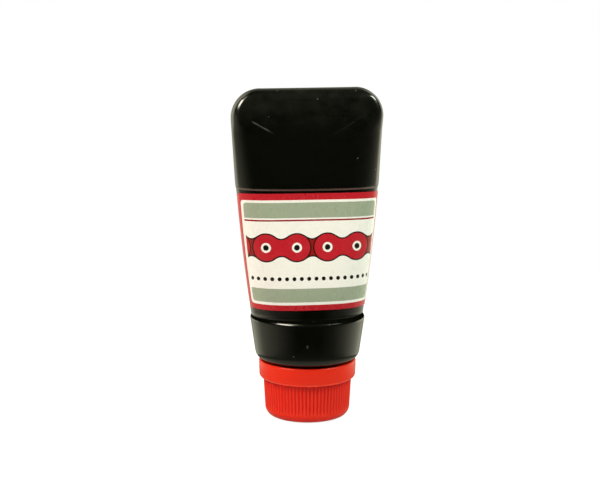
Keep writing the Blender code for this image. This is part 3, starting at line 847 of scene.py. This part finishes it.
def chainLayers(tree, along, up, shape):
    # side view of a roller chain: inner links, outer links over them, then the pins
    pitch = shape["chainPitch"]
    lap = addNode(tree, "Math", (along, 2.0 * pitch), operation="FLOORED_MODULO")
    centred = addNode(tree, "Math", (lap, pitch), operation="SUBTRACT")
    off = addNode(tree, "Math", (centred,), operation="ABSOLUTE")
    fromPin = addNode(tree, "Math", (off, 0.5 * pitch), operation="SUBTRACT")
    rise = addNode(tree, "Math", (up, shape["chainHeight"]), operation="SUBTRACT")
    level = addNode(tree, "Math", (rise,), operation="ABSOLUTE")
    across = addNode(tree, "CombineXYZ", (fromPin, rise))
    pinReach = addNode(tree, "VectorMath", (across,), operation="LENGTH")
    eye = addNode(tree, "Math", (pinReach, shape["linkRadius"]), operation="SUBTRACT")
    waist = addNode(tree, "Math", (level, shape["linkWaist"]), operation="SUBTRACT")
    layers = []
    for side, ink in ((-1.0, "deepRed"), (1.0, "ground")):
        past = addNode(tree, "Math", (fromPin, side), operation="MULTIPLY")
        bar = addNode(tree, "Math", (waist, past), operation="MAXIMUM")
        link = addNode(tree, "Math", (eye, bar, shape["linkSoftness"]), operation="SMOOTH_MIN")
        outline = addNode(tree, "Math", (link, shape["outline"]), operation="SUBTRACT")
        layers += [(outline, "ink"), (link, ink)]
    pin = addNode(tree, "Math", (pinReach, shape["pinRadius"]), operation="SUBTRACT")
    hub = addNode(tree, "Math", (pin, shape["pinWall"]), operation="ADD")
    return layers + [(pin, "paper"), (hub, "ink")]


def dotLayer(tree, along, up, shape):
    pitch = shape["dotPitch"]
    lap = addNode(tree, "Math", (along, pitch), operation="FLOORED_MODULO")
    aside = addNode(tree, "Math", (lap, 0.5 * pitch), operation="SUBTRACT")
    rise = addNode(tree, "Math", (up, shape["dotHeight"]), operation="SUBTRACT")
    across = addNode(tree, "CombineXYZ", (aside, rise))
    reach = addNode(tree, "VectorMath", (across,), operation="LENGTH")
    return (addNode(tree, "Math", (reach, shape["dotRadius"]), operation="SUBTRACT"), "ink")


def borderLayers(tree, up, edge, shape):
    # white line and red edge, with soft corners
    down = addNode(tree, "Math", (shape["top"] - shape["foot"], up), operation="SUBTRACT")
    head = addNode(tree, "Math", (down, shape["headExtra"]), operation="SUBTRACT")
    ends = addNode(tree, "Math", (up, head), operation="MINIMUM")
    side = addNode(tree, "Math", (edge, shape["sideShare"]), operation="MULTIPLY")
    inside = addNode(tree, "Math", (ends, side, shape["cornerSoftness"]), operation="SMOOTH_MIN")
    widths = ((shape["border"] + shape["keyLine"], "paper"), (shape["border"], "ground"))
    return [(addNode(tree, "Math", (inside, width), operation="SUBTRACT"), ink) for width, ink in widths]


def printedFilm(shape):
    # Gloss-varnished polypropylene film: flat strong inks under a clear sheen, with fine roller streaks
    material, tree, shader = newMaterial("varnished printed film")
    place = addNode(tree, "Attribute", attribute_name="printPlace").outputs["Vector"]   # in millimetres
    along, up, edge = addNode(tree, "SeparateXYZ", (place,)).outputs
    layers = bandLayers(tree, up, shape) + chainLayers(tree, along, up, shape)
    layers += [dotLayer(tree, along, up, shape)] + borderLayers(tree, up, edge, shape)
    printed = shape["paper"]
    soft = shape["inkEdge"]
    for field, ink in layers:                # an ink lies where its field is below zero
        mask = addNode(tree, "MapRange", (field, soft, -soft), interpolation_type="SMOOTHSTEP")
        printed = addNode(tree, "Mix", (mask, printed, shape[ink]), data_type="RGBA")
    streak = addNode(tree, "Mapping", {"Vector": place, "Scale": (0.25, 3.0, 0.0)})
    density = addNode(tree, "TexNoise", (streak, 1.0, 4.0))
    thin = addNode(tree, "MapRange", (density, 0.0, 1.0, 0.93, 1.03))
    inked = addNode(tree, "Mix", (1.0, printed, thin), data_type="RGBA", blend_type="MULTIPLY")
    handled = addNode(tree, "TexNoise", (place, 0.16, 5.0))
    rough = addNode(tree, "MapRange", (handled, 0.3, 0.7, 0.22, 0.34))
    peel = addNode(tree, "TexNoise", (place, 0.7, 2.0))
    bump = addNode(tree, "Bump", {"Height": peel, "Strength": 0.05, "Distance": 0.05 * mm})
    setInputs(tree, shader, {"Base Color": inked, "Roughness": rough, "Normal": bump, "IOR": 1.49})
    return material


addPiece("label_film", labelMesh(label), printedFilm(label), "tube", "front_label")
print("label made")

# Cap: one injection moulding, fine ribs under a plain flared band
cap = {
    "ribCount": 75,
    "pointsPerRib": 8,
    "ribDepth": 0.5,
    "ribHeights": (3.0, 4.5),  # the ribs grow out of the plain foot
    "gripRadius": 19.25,
    "footRadius": 18.5,
    "footRoundingHeight": 4.0,
    "footRoundingWidth": 3.3,
    "standingRing": 3.0,
    "dishDepth": 0.6,
    "dishBevel": 1.2,
    "bandFloor": 16.7,
    "bandStep": (0.12, 0.02),  # out and up, where the ribs end under the band
    "bandStart": -72.0,        # degrees, where the band's rounding starts
    "bandRadius": 21.15,
    "bandRounding": 1.8,
    "bandDraft": 0.15,         # the band narrows this much towards its foot
    "draftTop": 2.0,           # and has its full width this far under the rim's edge
    "rimEdge": 0.6,
    "boreEdge": 0.3,
    "sideWall": 2.0,
    "endWall": 1.8,
    "threadStart": 0.4,
    "threadHeight": 1.15,
    "threadRidge": (0.40, 0.90),
    "threadTurns": 1.75,
    # finish, painted light and shade among it, with places in millimetres
    "red": ("#da2407", "#e0280a"),
    "ribLightAndShade": ("#dc3018", "#da0800"),   # painted highlight on the crests, painted shade in the grooves
    "grooveDepths": (0.1, 0.4),
    "ribShadingStart": 0.5,       # the ribs' painted light and shade comes in over this
    "paintedShadeColour": "#c60600",   # painted shade in the corner under the band and at the foot
    "cornerShade": 3.0,
    "footShade": (3.5, 0.3),
    # painted highlight along the band's lower edge
    "bandEdgeHighlightColour": "#ff4a30",
    "bandEdgeHighlight": (1.2, 0.5),  # heights over the band's foot
}


def capRings(shape):
    # from the dish under the foot up over the ribs and the band, then down the threaded bore
    count = shape["ribCount"] * shape["pointsPerRib"]
    turn = np.arange(count) / count
    angle = 2.0 * math.pi * turn
    ribs = np.sin(shape["ribCount"] * math.pi * turn) ** 2        # round crests and round grooves
    rings = []

    def addRing(radius, height, ribShare=0.0, inward=0.0):
        reach = radius - shape["ribDepth"] * ribShare * (1.0 - ribs) - inward
        level = np.full(count, height)
        rings.append(np.column_stack([reach * np.cos(angle), reach * np.sin(angle), level]))

    centre = shape["footRadius"] - shape["footRoundingWidth"]
    dish, bevel = centre - shape["standingRing"], shape["dishBevel"]
    slope = ((dish - bevel, 1.0), (dish - 0.25 * bevel, 0.3), (dish, 0.0))
    for radius, share in ((0.4 * dish, 1.0), *slope, (centre, 0.0)):
        addRing(radius, share * shape["dishDepth"])
    start, full = shape["ribHeights"]
    for step in np.radians(np.linspace(-84.0, 0.0, 15)):
        radius = centre + shape["footRoundingWidth"] * math.cos(step)
        height = shape["footRoundingHeight"] * (1.0 + math.sin(step))
        addRing(radius, height, np.clip((height - start) / (full - start), 0.0, 1.0))
    low, high = shape["footRoundingHeight"], shape["bandFloor"]
    for share in np.linspace(0.0, 1.0, 8)[1:]:
        radius = shape["footRadius"] + share * (shape["gripRadius"] - shape["footRadius"])
        addRing(radius, low + share * (high - low), 1.0)
    out, up = shape["bandStep"]
    addRing(shape["gripRadius"] + out, high + up)
    band, bend = shape["bandRadius"], shape["bandRounding"]
    for place in arcPoints(band - shape["bandDraft"] - bend, high + bend, bend, shape["bandStart"], 0.0, 9):
        addRing(*place)
    top, edge, soft = fits["capHeight"], shape["rimEdge"], shape["boreEdge"]
    addRing(band, top - edge - shape["draftTop"])
    bandBore = band - shape["sideWall"]
    rim = list(arcPoints(band - edge, top - edge, edge, 0.0, 90.0, 5))
    rim += list(arcPoints(bandBore + soft, top - soft, soft, 90.0, 180.0, 3))
    step = high + shape["sideWall"]
    rim += [(bandBore, step + soft), (bandBore - soft, step), (fits["capBore"], step)]
    for place in rim:
        addRing(*place)
    first = tube["threadFirst"] - 0.5 * fits["threadPitch"]
    for height in np.linspace(step - shape["threadStart"], shape["endWall"], 48):
        addRing(fits["capBore"], height, inward=threadRise(turn, height, first, shape))
    return rings


def redPolypropylene(shape):
    # Injection-moulded red PP: strong warm red with a soft satin sheen and a very fine spark-eroded grain,
    # with painted light and shade on the ribs, painted shade under the band and at the foot, and a painted
    # highlight on the band's lower edge
    material, tree, shader = newMaterial("injection-moulded red PP")
    at = addNode(tree, "TexCoord").outputs["Object"]
    height = addNode(tree, "SeparateXYZ", (at,)).outputs["Z"]
    flat = addNode(tree, "VectorMath", (at, (1.0, 1.0, 0.0)), operation="MULTIPLY")
    reach = addNode(tree, "VectorMath", (flat,), operation="LENGTH")
    low, high = shape["footRoundingHeight"], shape["bandFloor"]
    crestLine = (low * mm, high * mm, shape["footRadius"] * mm, shape["gripRadius"] * mm)
    crest = addNode(tree, "MapRange", (height, *crestLine))
    # painted shade deepens with each groove's depth under the crest line
    depth = addNode(tree, "Math", (crest, reach), operation="SUBTRACT")
    groove = fadeIn(tree, 1.0, [(depth, shape["grooveDepths"])])
    ribShading = addNode(tree, "Mix", (groove, *shape["ribLightAndShade"]), data_type="RGBA")
    under = addNode(tree, "Math", (height, high * mm), operation="LESS_THAN")
    over = addNode(tree, "Math", (1.0, under), operation="SUBTRACT")
    ribbed = fadeIn(tree, under, [(height, (low - shape["ribShadingStart"], low))])
    # painted shade in the corner under the band and towards the foot
    corner = fadeIn(tree, under, [(height, (high - shape["cornerShade"], high))])
    foot = fadeIn(tree, 1.0, [(height, shape["footShade"])])
    paintedShade = addNode(tree, "Math", (corner, foot), operation="MAXIMUM")
    # painted highlight along the band's lower edge
    edge = fadeIn(tree, over, [(height, [high + rise for rise in shape["bandEdgeHighlight"]])])
    flow = addNode(tree, "TexNoise", (at, perMetre(9.0), 3.0))
    tone = addNode(tree, "Mix", (flow, *shape["red"]), data_type="RGBA")
    for mask, colour in ((ribbed, ribShading), (paintedShade, shape["paintedShadeColour"]), (edge, shape["bandEdgeHighlightColour"])):
        tone = addNode(tree, "Mix", (mask, tone, colour), data_type="RGBA")
    rub = addNode(tree, "TexNoise", (at, perMetre(3.0), 5.0))
    rough = addNode(tree, "MapRange", (rub, 0.3, 0.7, 0.30, 0.40))
    grain = addNode(tree, "TexNoise", (at, perMetre(0.5), 2.0))
    bump = addNode(tree, "Bump", {"Height": grain, "Strength": 0.08, "Distance": 0.03 * mm})
    setInputs(tree, shader, {"Base Color": tone, "Roughness": rough, "Normal": bump, "IOR": 1.49,
                             "Specular IOR Level": 0.25, "Subsurface Weight": 0.25, "Subsurface Scale": 1.0,
                             "Subsurface Radius": (1.0 * mm, 0.2 * mm, 0.1 * mm)})
    return material


capMesh = skinRings("cap_shell", capRings(cap), 45.0)
addPiece("cap_shell", capMesh, redPolypropylene(cap), "cap", "screw_cap")
print("cap made")

# Orifice plug: a natural insert that closes the neck but for one round hole
plug = {
    "floor": 3.4,
    "flange": 1.0,
    "flangeRadius": 15.2,
    "deck": 1.6,
    "skirtRadius": 13.5,
    "skirtWall": 1.2,
    "skirtEnd": 6.0,
    "orifice": 2.5,
    "edge": 0.25,
    "beadHeight": 0.16,        # snap bead that grips the neck's bore
    "beadReach": 0.6,
    "beadPlace": 4.2,
    "milk": ("#dcdcd4", "#e8e8e2"),
    "smearColour": "#3a3a38",
    "smearReach": (8.0, 4.5),  # around the hole
    "smearWander": 6.0,
}


def plugProfile(shape):
    edge = shape["edge"]
    skirt, end = shape["skirtRadius"], shape["skirtEnd"]
    bore = skirt - shape["skirtWall"]
    profile = [(bore, end - edge), (bore + edge, end), (skirt - 2.0 * edge, end), (skirt, end - 2.0 * edge)]
    for share in np.linspace(-1.0, 1.0, 7):
        bulge = shape["beadHeight"] * (1.0 - share ** 2)
        profile.append((skirt + bulge, shape["beadPlace"] - share * shape["beadReach"]))
    profile += [(skirt, shape["flange"])]
    flange, hole = shape["flangeRadius"] - edge, shape["orifice"] + edge
    profile += list(arcPoints(flange, shape["flange"] - edge, edge, 90.0, 0.0, 4))
    profile += list(arcPoints(flange, edge, edge, 0.0, -90.0, 4))
    profile += list(arcPoints(hole, edge, edge, 270.0, 180.0, 4))
    profile += list(arcPoints(hole, shape["deck"] - edge, edge, 180.0, 90.0, 4))
    profile += [(bore - edge, shape["deck"]), (bore, shape["deck"] + edge)]
    return [(radius, height + shape["floor"]) for radius, height in profile]


def naturalPolyethylene(shape):
    # Unpigmented LDPE: milky, slightly see-through and waxy, with a faint grey smear of grease at the hole
    material, tree, shader = newMaterial("natural LDPE")
    at = addNode(tree, "TexCoord").outputs["Object"]
    cloud = addNode(tree, "TexNoise", (at, perMetre(5.0), 3.0))
    milk = addNode(tree, "Mix", (cloud, *shape["milk"]), data_type="RGBA")
    flat = addNode(tree, "VectorMath", (at, (1.0, 1.0, 0.0)), operation="MULTIPLY")
    reach = addNode(tree, "VectorMath", (flat,), operation="LENGTH")
    wander = addNode(tree, "Math", (cloud, shape["smearWander"] * mm, reach), operation="MULTIPLY_ADD")
    smear = fadeIn(tree, 1.0, [(wander, shape["smearReach"])])
    soiled = addNode(tree, "Mix", (smear, milk, shape["smearColour"]), data_type="RGBA")
    rough = addNode(tree, "MapRange", (cloud, 0.0, 1.0, 0.36, 0.5))
    grain = addNode(tree, "TexNoise", (at, perMetre(0.8), 2.0))
    bump = addNode(tree, "Bump", {"Height": grain, "Strength": 0.1, "Distance": 0.03 * mm})
    setInputs(tree, shader, {"Base Color": soiled, "Roughness": rough, "Normal": bump,
                             "Subsurface Weight": 0.25, "Subsurface Scale": 1.0,
                             "Subsurface Radius": (1.2 * mm, 1.1 * mm, 0.9 * mm)})
    return material


plugMesh = skinRings("plug_insert", turnedRings(plugProfile(plug), 96), 35.0, hollow=True)
addPiece("plug_insert", plugMesh, naturalPolyethylene(plug), "tube", "orifice_plug")
print("plug made")

# Sealing disc: foam punched from sheet, pressed by the plug's flange
liner = {
    "radius": 16.5,
    "middle": 4.0,             # flat within this radius
    "floor": 2.1,
    "top": 3.1,
    "edge": 0.18,
    "pressInner": 13.2,
    "pressOuter": 15.3,
    "pressDepth": 0.12,
    "foam": ("#e4e4de", "#f0f0ec"),
    "cellSize": 0.35,
}


def linerProfile(shape):
    inside, edge = shape["radius"] - shape["edge"], shape["edge"]
    profile = [(shape["middle"], shape["floor"]), (inside, shape["floor"])]
    profile += list(arcPoints(inside, shape["floor"] + edge, edge, -60.0, 0.0, 3))
    profile += list(arcPoints(inside, shape["top"] - edge, edge, 0.0, 90.0, 4))
    inner, outer = shape["pressInner"], shape["pressOuter"]
    for share in np.linspace(0.0, 1.0, 13):
        dent = shape["pressDepth"] * math.sin(math.pi * share) ** 0.6
        profile.append((outer + (inner - outer) * share, shape["top"] - dent))
    return profile + [(shape["middle"], shape["top"])]


def whiteFoam(shape):
    # Expanded polyethylene sheet: matt white skin with tiny closed cells
    material, tree, shader = newMaterial("expanded PE foam")
    at = addNode(tree, "TexCoord").outputs["Object"]
    cells = addNode(tree, "TexVoronoi", (at, perMetre(shape["cellSize"]))).outputs["Distance"]
    tone = addNode(tree, "Mix", (cells, *shape["foam"]), data_type="RGBA")
    wear = addNode(tree, "TexNoise", (at, perMetre(4.0), 3.0))
    rough = addNode(tree, "MapRange", (wear, 0.0, 1.0, 0.62, 0.78))
    bump = addNode(tree, "Bump", {"Height": cells, "Strength": 0.25, "Distance": 0.06 * mm})
    setInputs(tree, shader, {"Base Color": tone, "Roughness": rough, "Normal": bump})
    return material


linerMesh = skinRings("liner_disc", turnedRings(linerProfile(liner), 96), 35.0)
addPiece("liner_disc", linerMesh, whiteFoam(liner), "liner", "cap_liner")
print("liner made")

# Grease: fills the tube from the plug up to a soft heap under the tail
grease = {
    "gap": 0.3,
    "deck": 5.3,
    "skirtEnd": 9.7,
    "skirtBore": 12.0,
    "lipCorner": (0.5, 1.0),   # in and down, under the ledge
    "tailRise": 2.0,           # its tail part starts this far over the recess
    "top": 119.4,
    "heap": 1.6,               # how far the middle of the heap falls below its sides
    "waves": ((0.25, 0.35, 1.0), (0.15, 0.9, 0.0)),   # depth, turn per millimetre and start
    "paste": ("#0d0d0e", "#1b1b1d"),
    "flakeColour": "#47474b",
    "flakeSize": 0.3,
    "flakeRarity": (0.8, 0.95),
}


def greaseRings(shape):
    gap, wall = shape["gap"], fits["wall"]
    clear = gap + wall
    bend = tube["collarRounding"] - wall
    floor = fits["capRim"] + clear
    skirt, neck = shape["skirtBore"], fits["neckBore"] - gap
    profile = [(skirt, shape["deck"]), (skirt, shape["skirtEnd"]), (neck, shape["skirtEnd"]), (neck, floor)]
    bendRadius = tube["collarFoot"] - tube["collarRounding"] - gap
    profile += list(arcPoints(bendRadius, floor + bend, bend, -90.0, 0.0, 8))
    lip, ledge = tube["lipRadius"] - clear, fits["lipTop"] - clear
    inward, down = shape["lipCorner"]
    profile += [(lip, ledge - down), (lip - inward, ledge)]
    rings = [roundRing(radius, height) for radius, height in profile]
    for height in np.linspace(fits["panelFoot"], fits["panelTop"], 12):
        rings.append(ovalRing(inset(panelSection(height, tube), clear), height))
    for height in np.linspace(fits["recessTop"] + shape["tailRise"], shape["top"], 10):
        rings.append(ovalRing(inset(tailSection(height, tube), clear), height))
    top = rings[-1]
    for share in (0.97, 0.9, 0.75, 0.5, 0.25):
        ring = top * np.array([share, share, 1.0])
        waves = sum(depth * np.sin(often * ring[:, 0] + start) for depth, often, start in shape["waves"])
        ring[:, 2] = shape["top"] - (shape["heap"] + waves) * (1.0 - share ** 4)
        rings.append(ring)
    return rings


def graphiteGrease(shape):
    # Soft grease with graphite: near black with a wet sheen and fine metallic flakes
    material, tree, shader = newMaterial("graphite grease paste")
    at = addNode(tree, "TexCoord").outputs["Object"]
    stirred = {"Vector": at, "Scale": perMetre(7.0), "Detail": 4.0, "Distortion": 1.2}
    swirl = addNode(tree, "TexNoise", stirred)
    paste = addNode(tree, "Mix", (swirl, *shape["paste"]), data_type="RGBA")
    flake = addNode(tree, "TexVoronoi", (at, perMetre(shape["flakeSize"])))
    pick = addNode(tree, "SeparateXYZ", (flake.outputs["Color"],))
    glint = fadeIn(tree, 1.0, [(pick, shape["flakeRarity"])], unit=1.0)
    flaked = addNode(tree, "Mix", (glint, paste, shape["flakeColour"]), data_type="RGBA")
    rough = addNode(tree, "MapRange", (swirl, 0.0, 1.0, 0.22, 0.42))
    bump = addNode(tree, "Bump", {"Height": swirl, "Strength": 0.3, "Distance": 0.4 * mm})
    setInputs(tree, shader, {"Base Color": flaked, "Metallic": glint, "Roughness": rough, "Normal": bump})
    return material


greaseMesh = skinRings("grease_paste", greaseRings(grease))
addPiece("grease_paste", greaseMesh, graphiteGrease(grease), "tube", "grease_fill")
print("grease made")
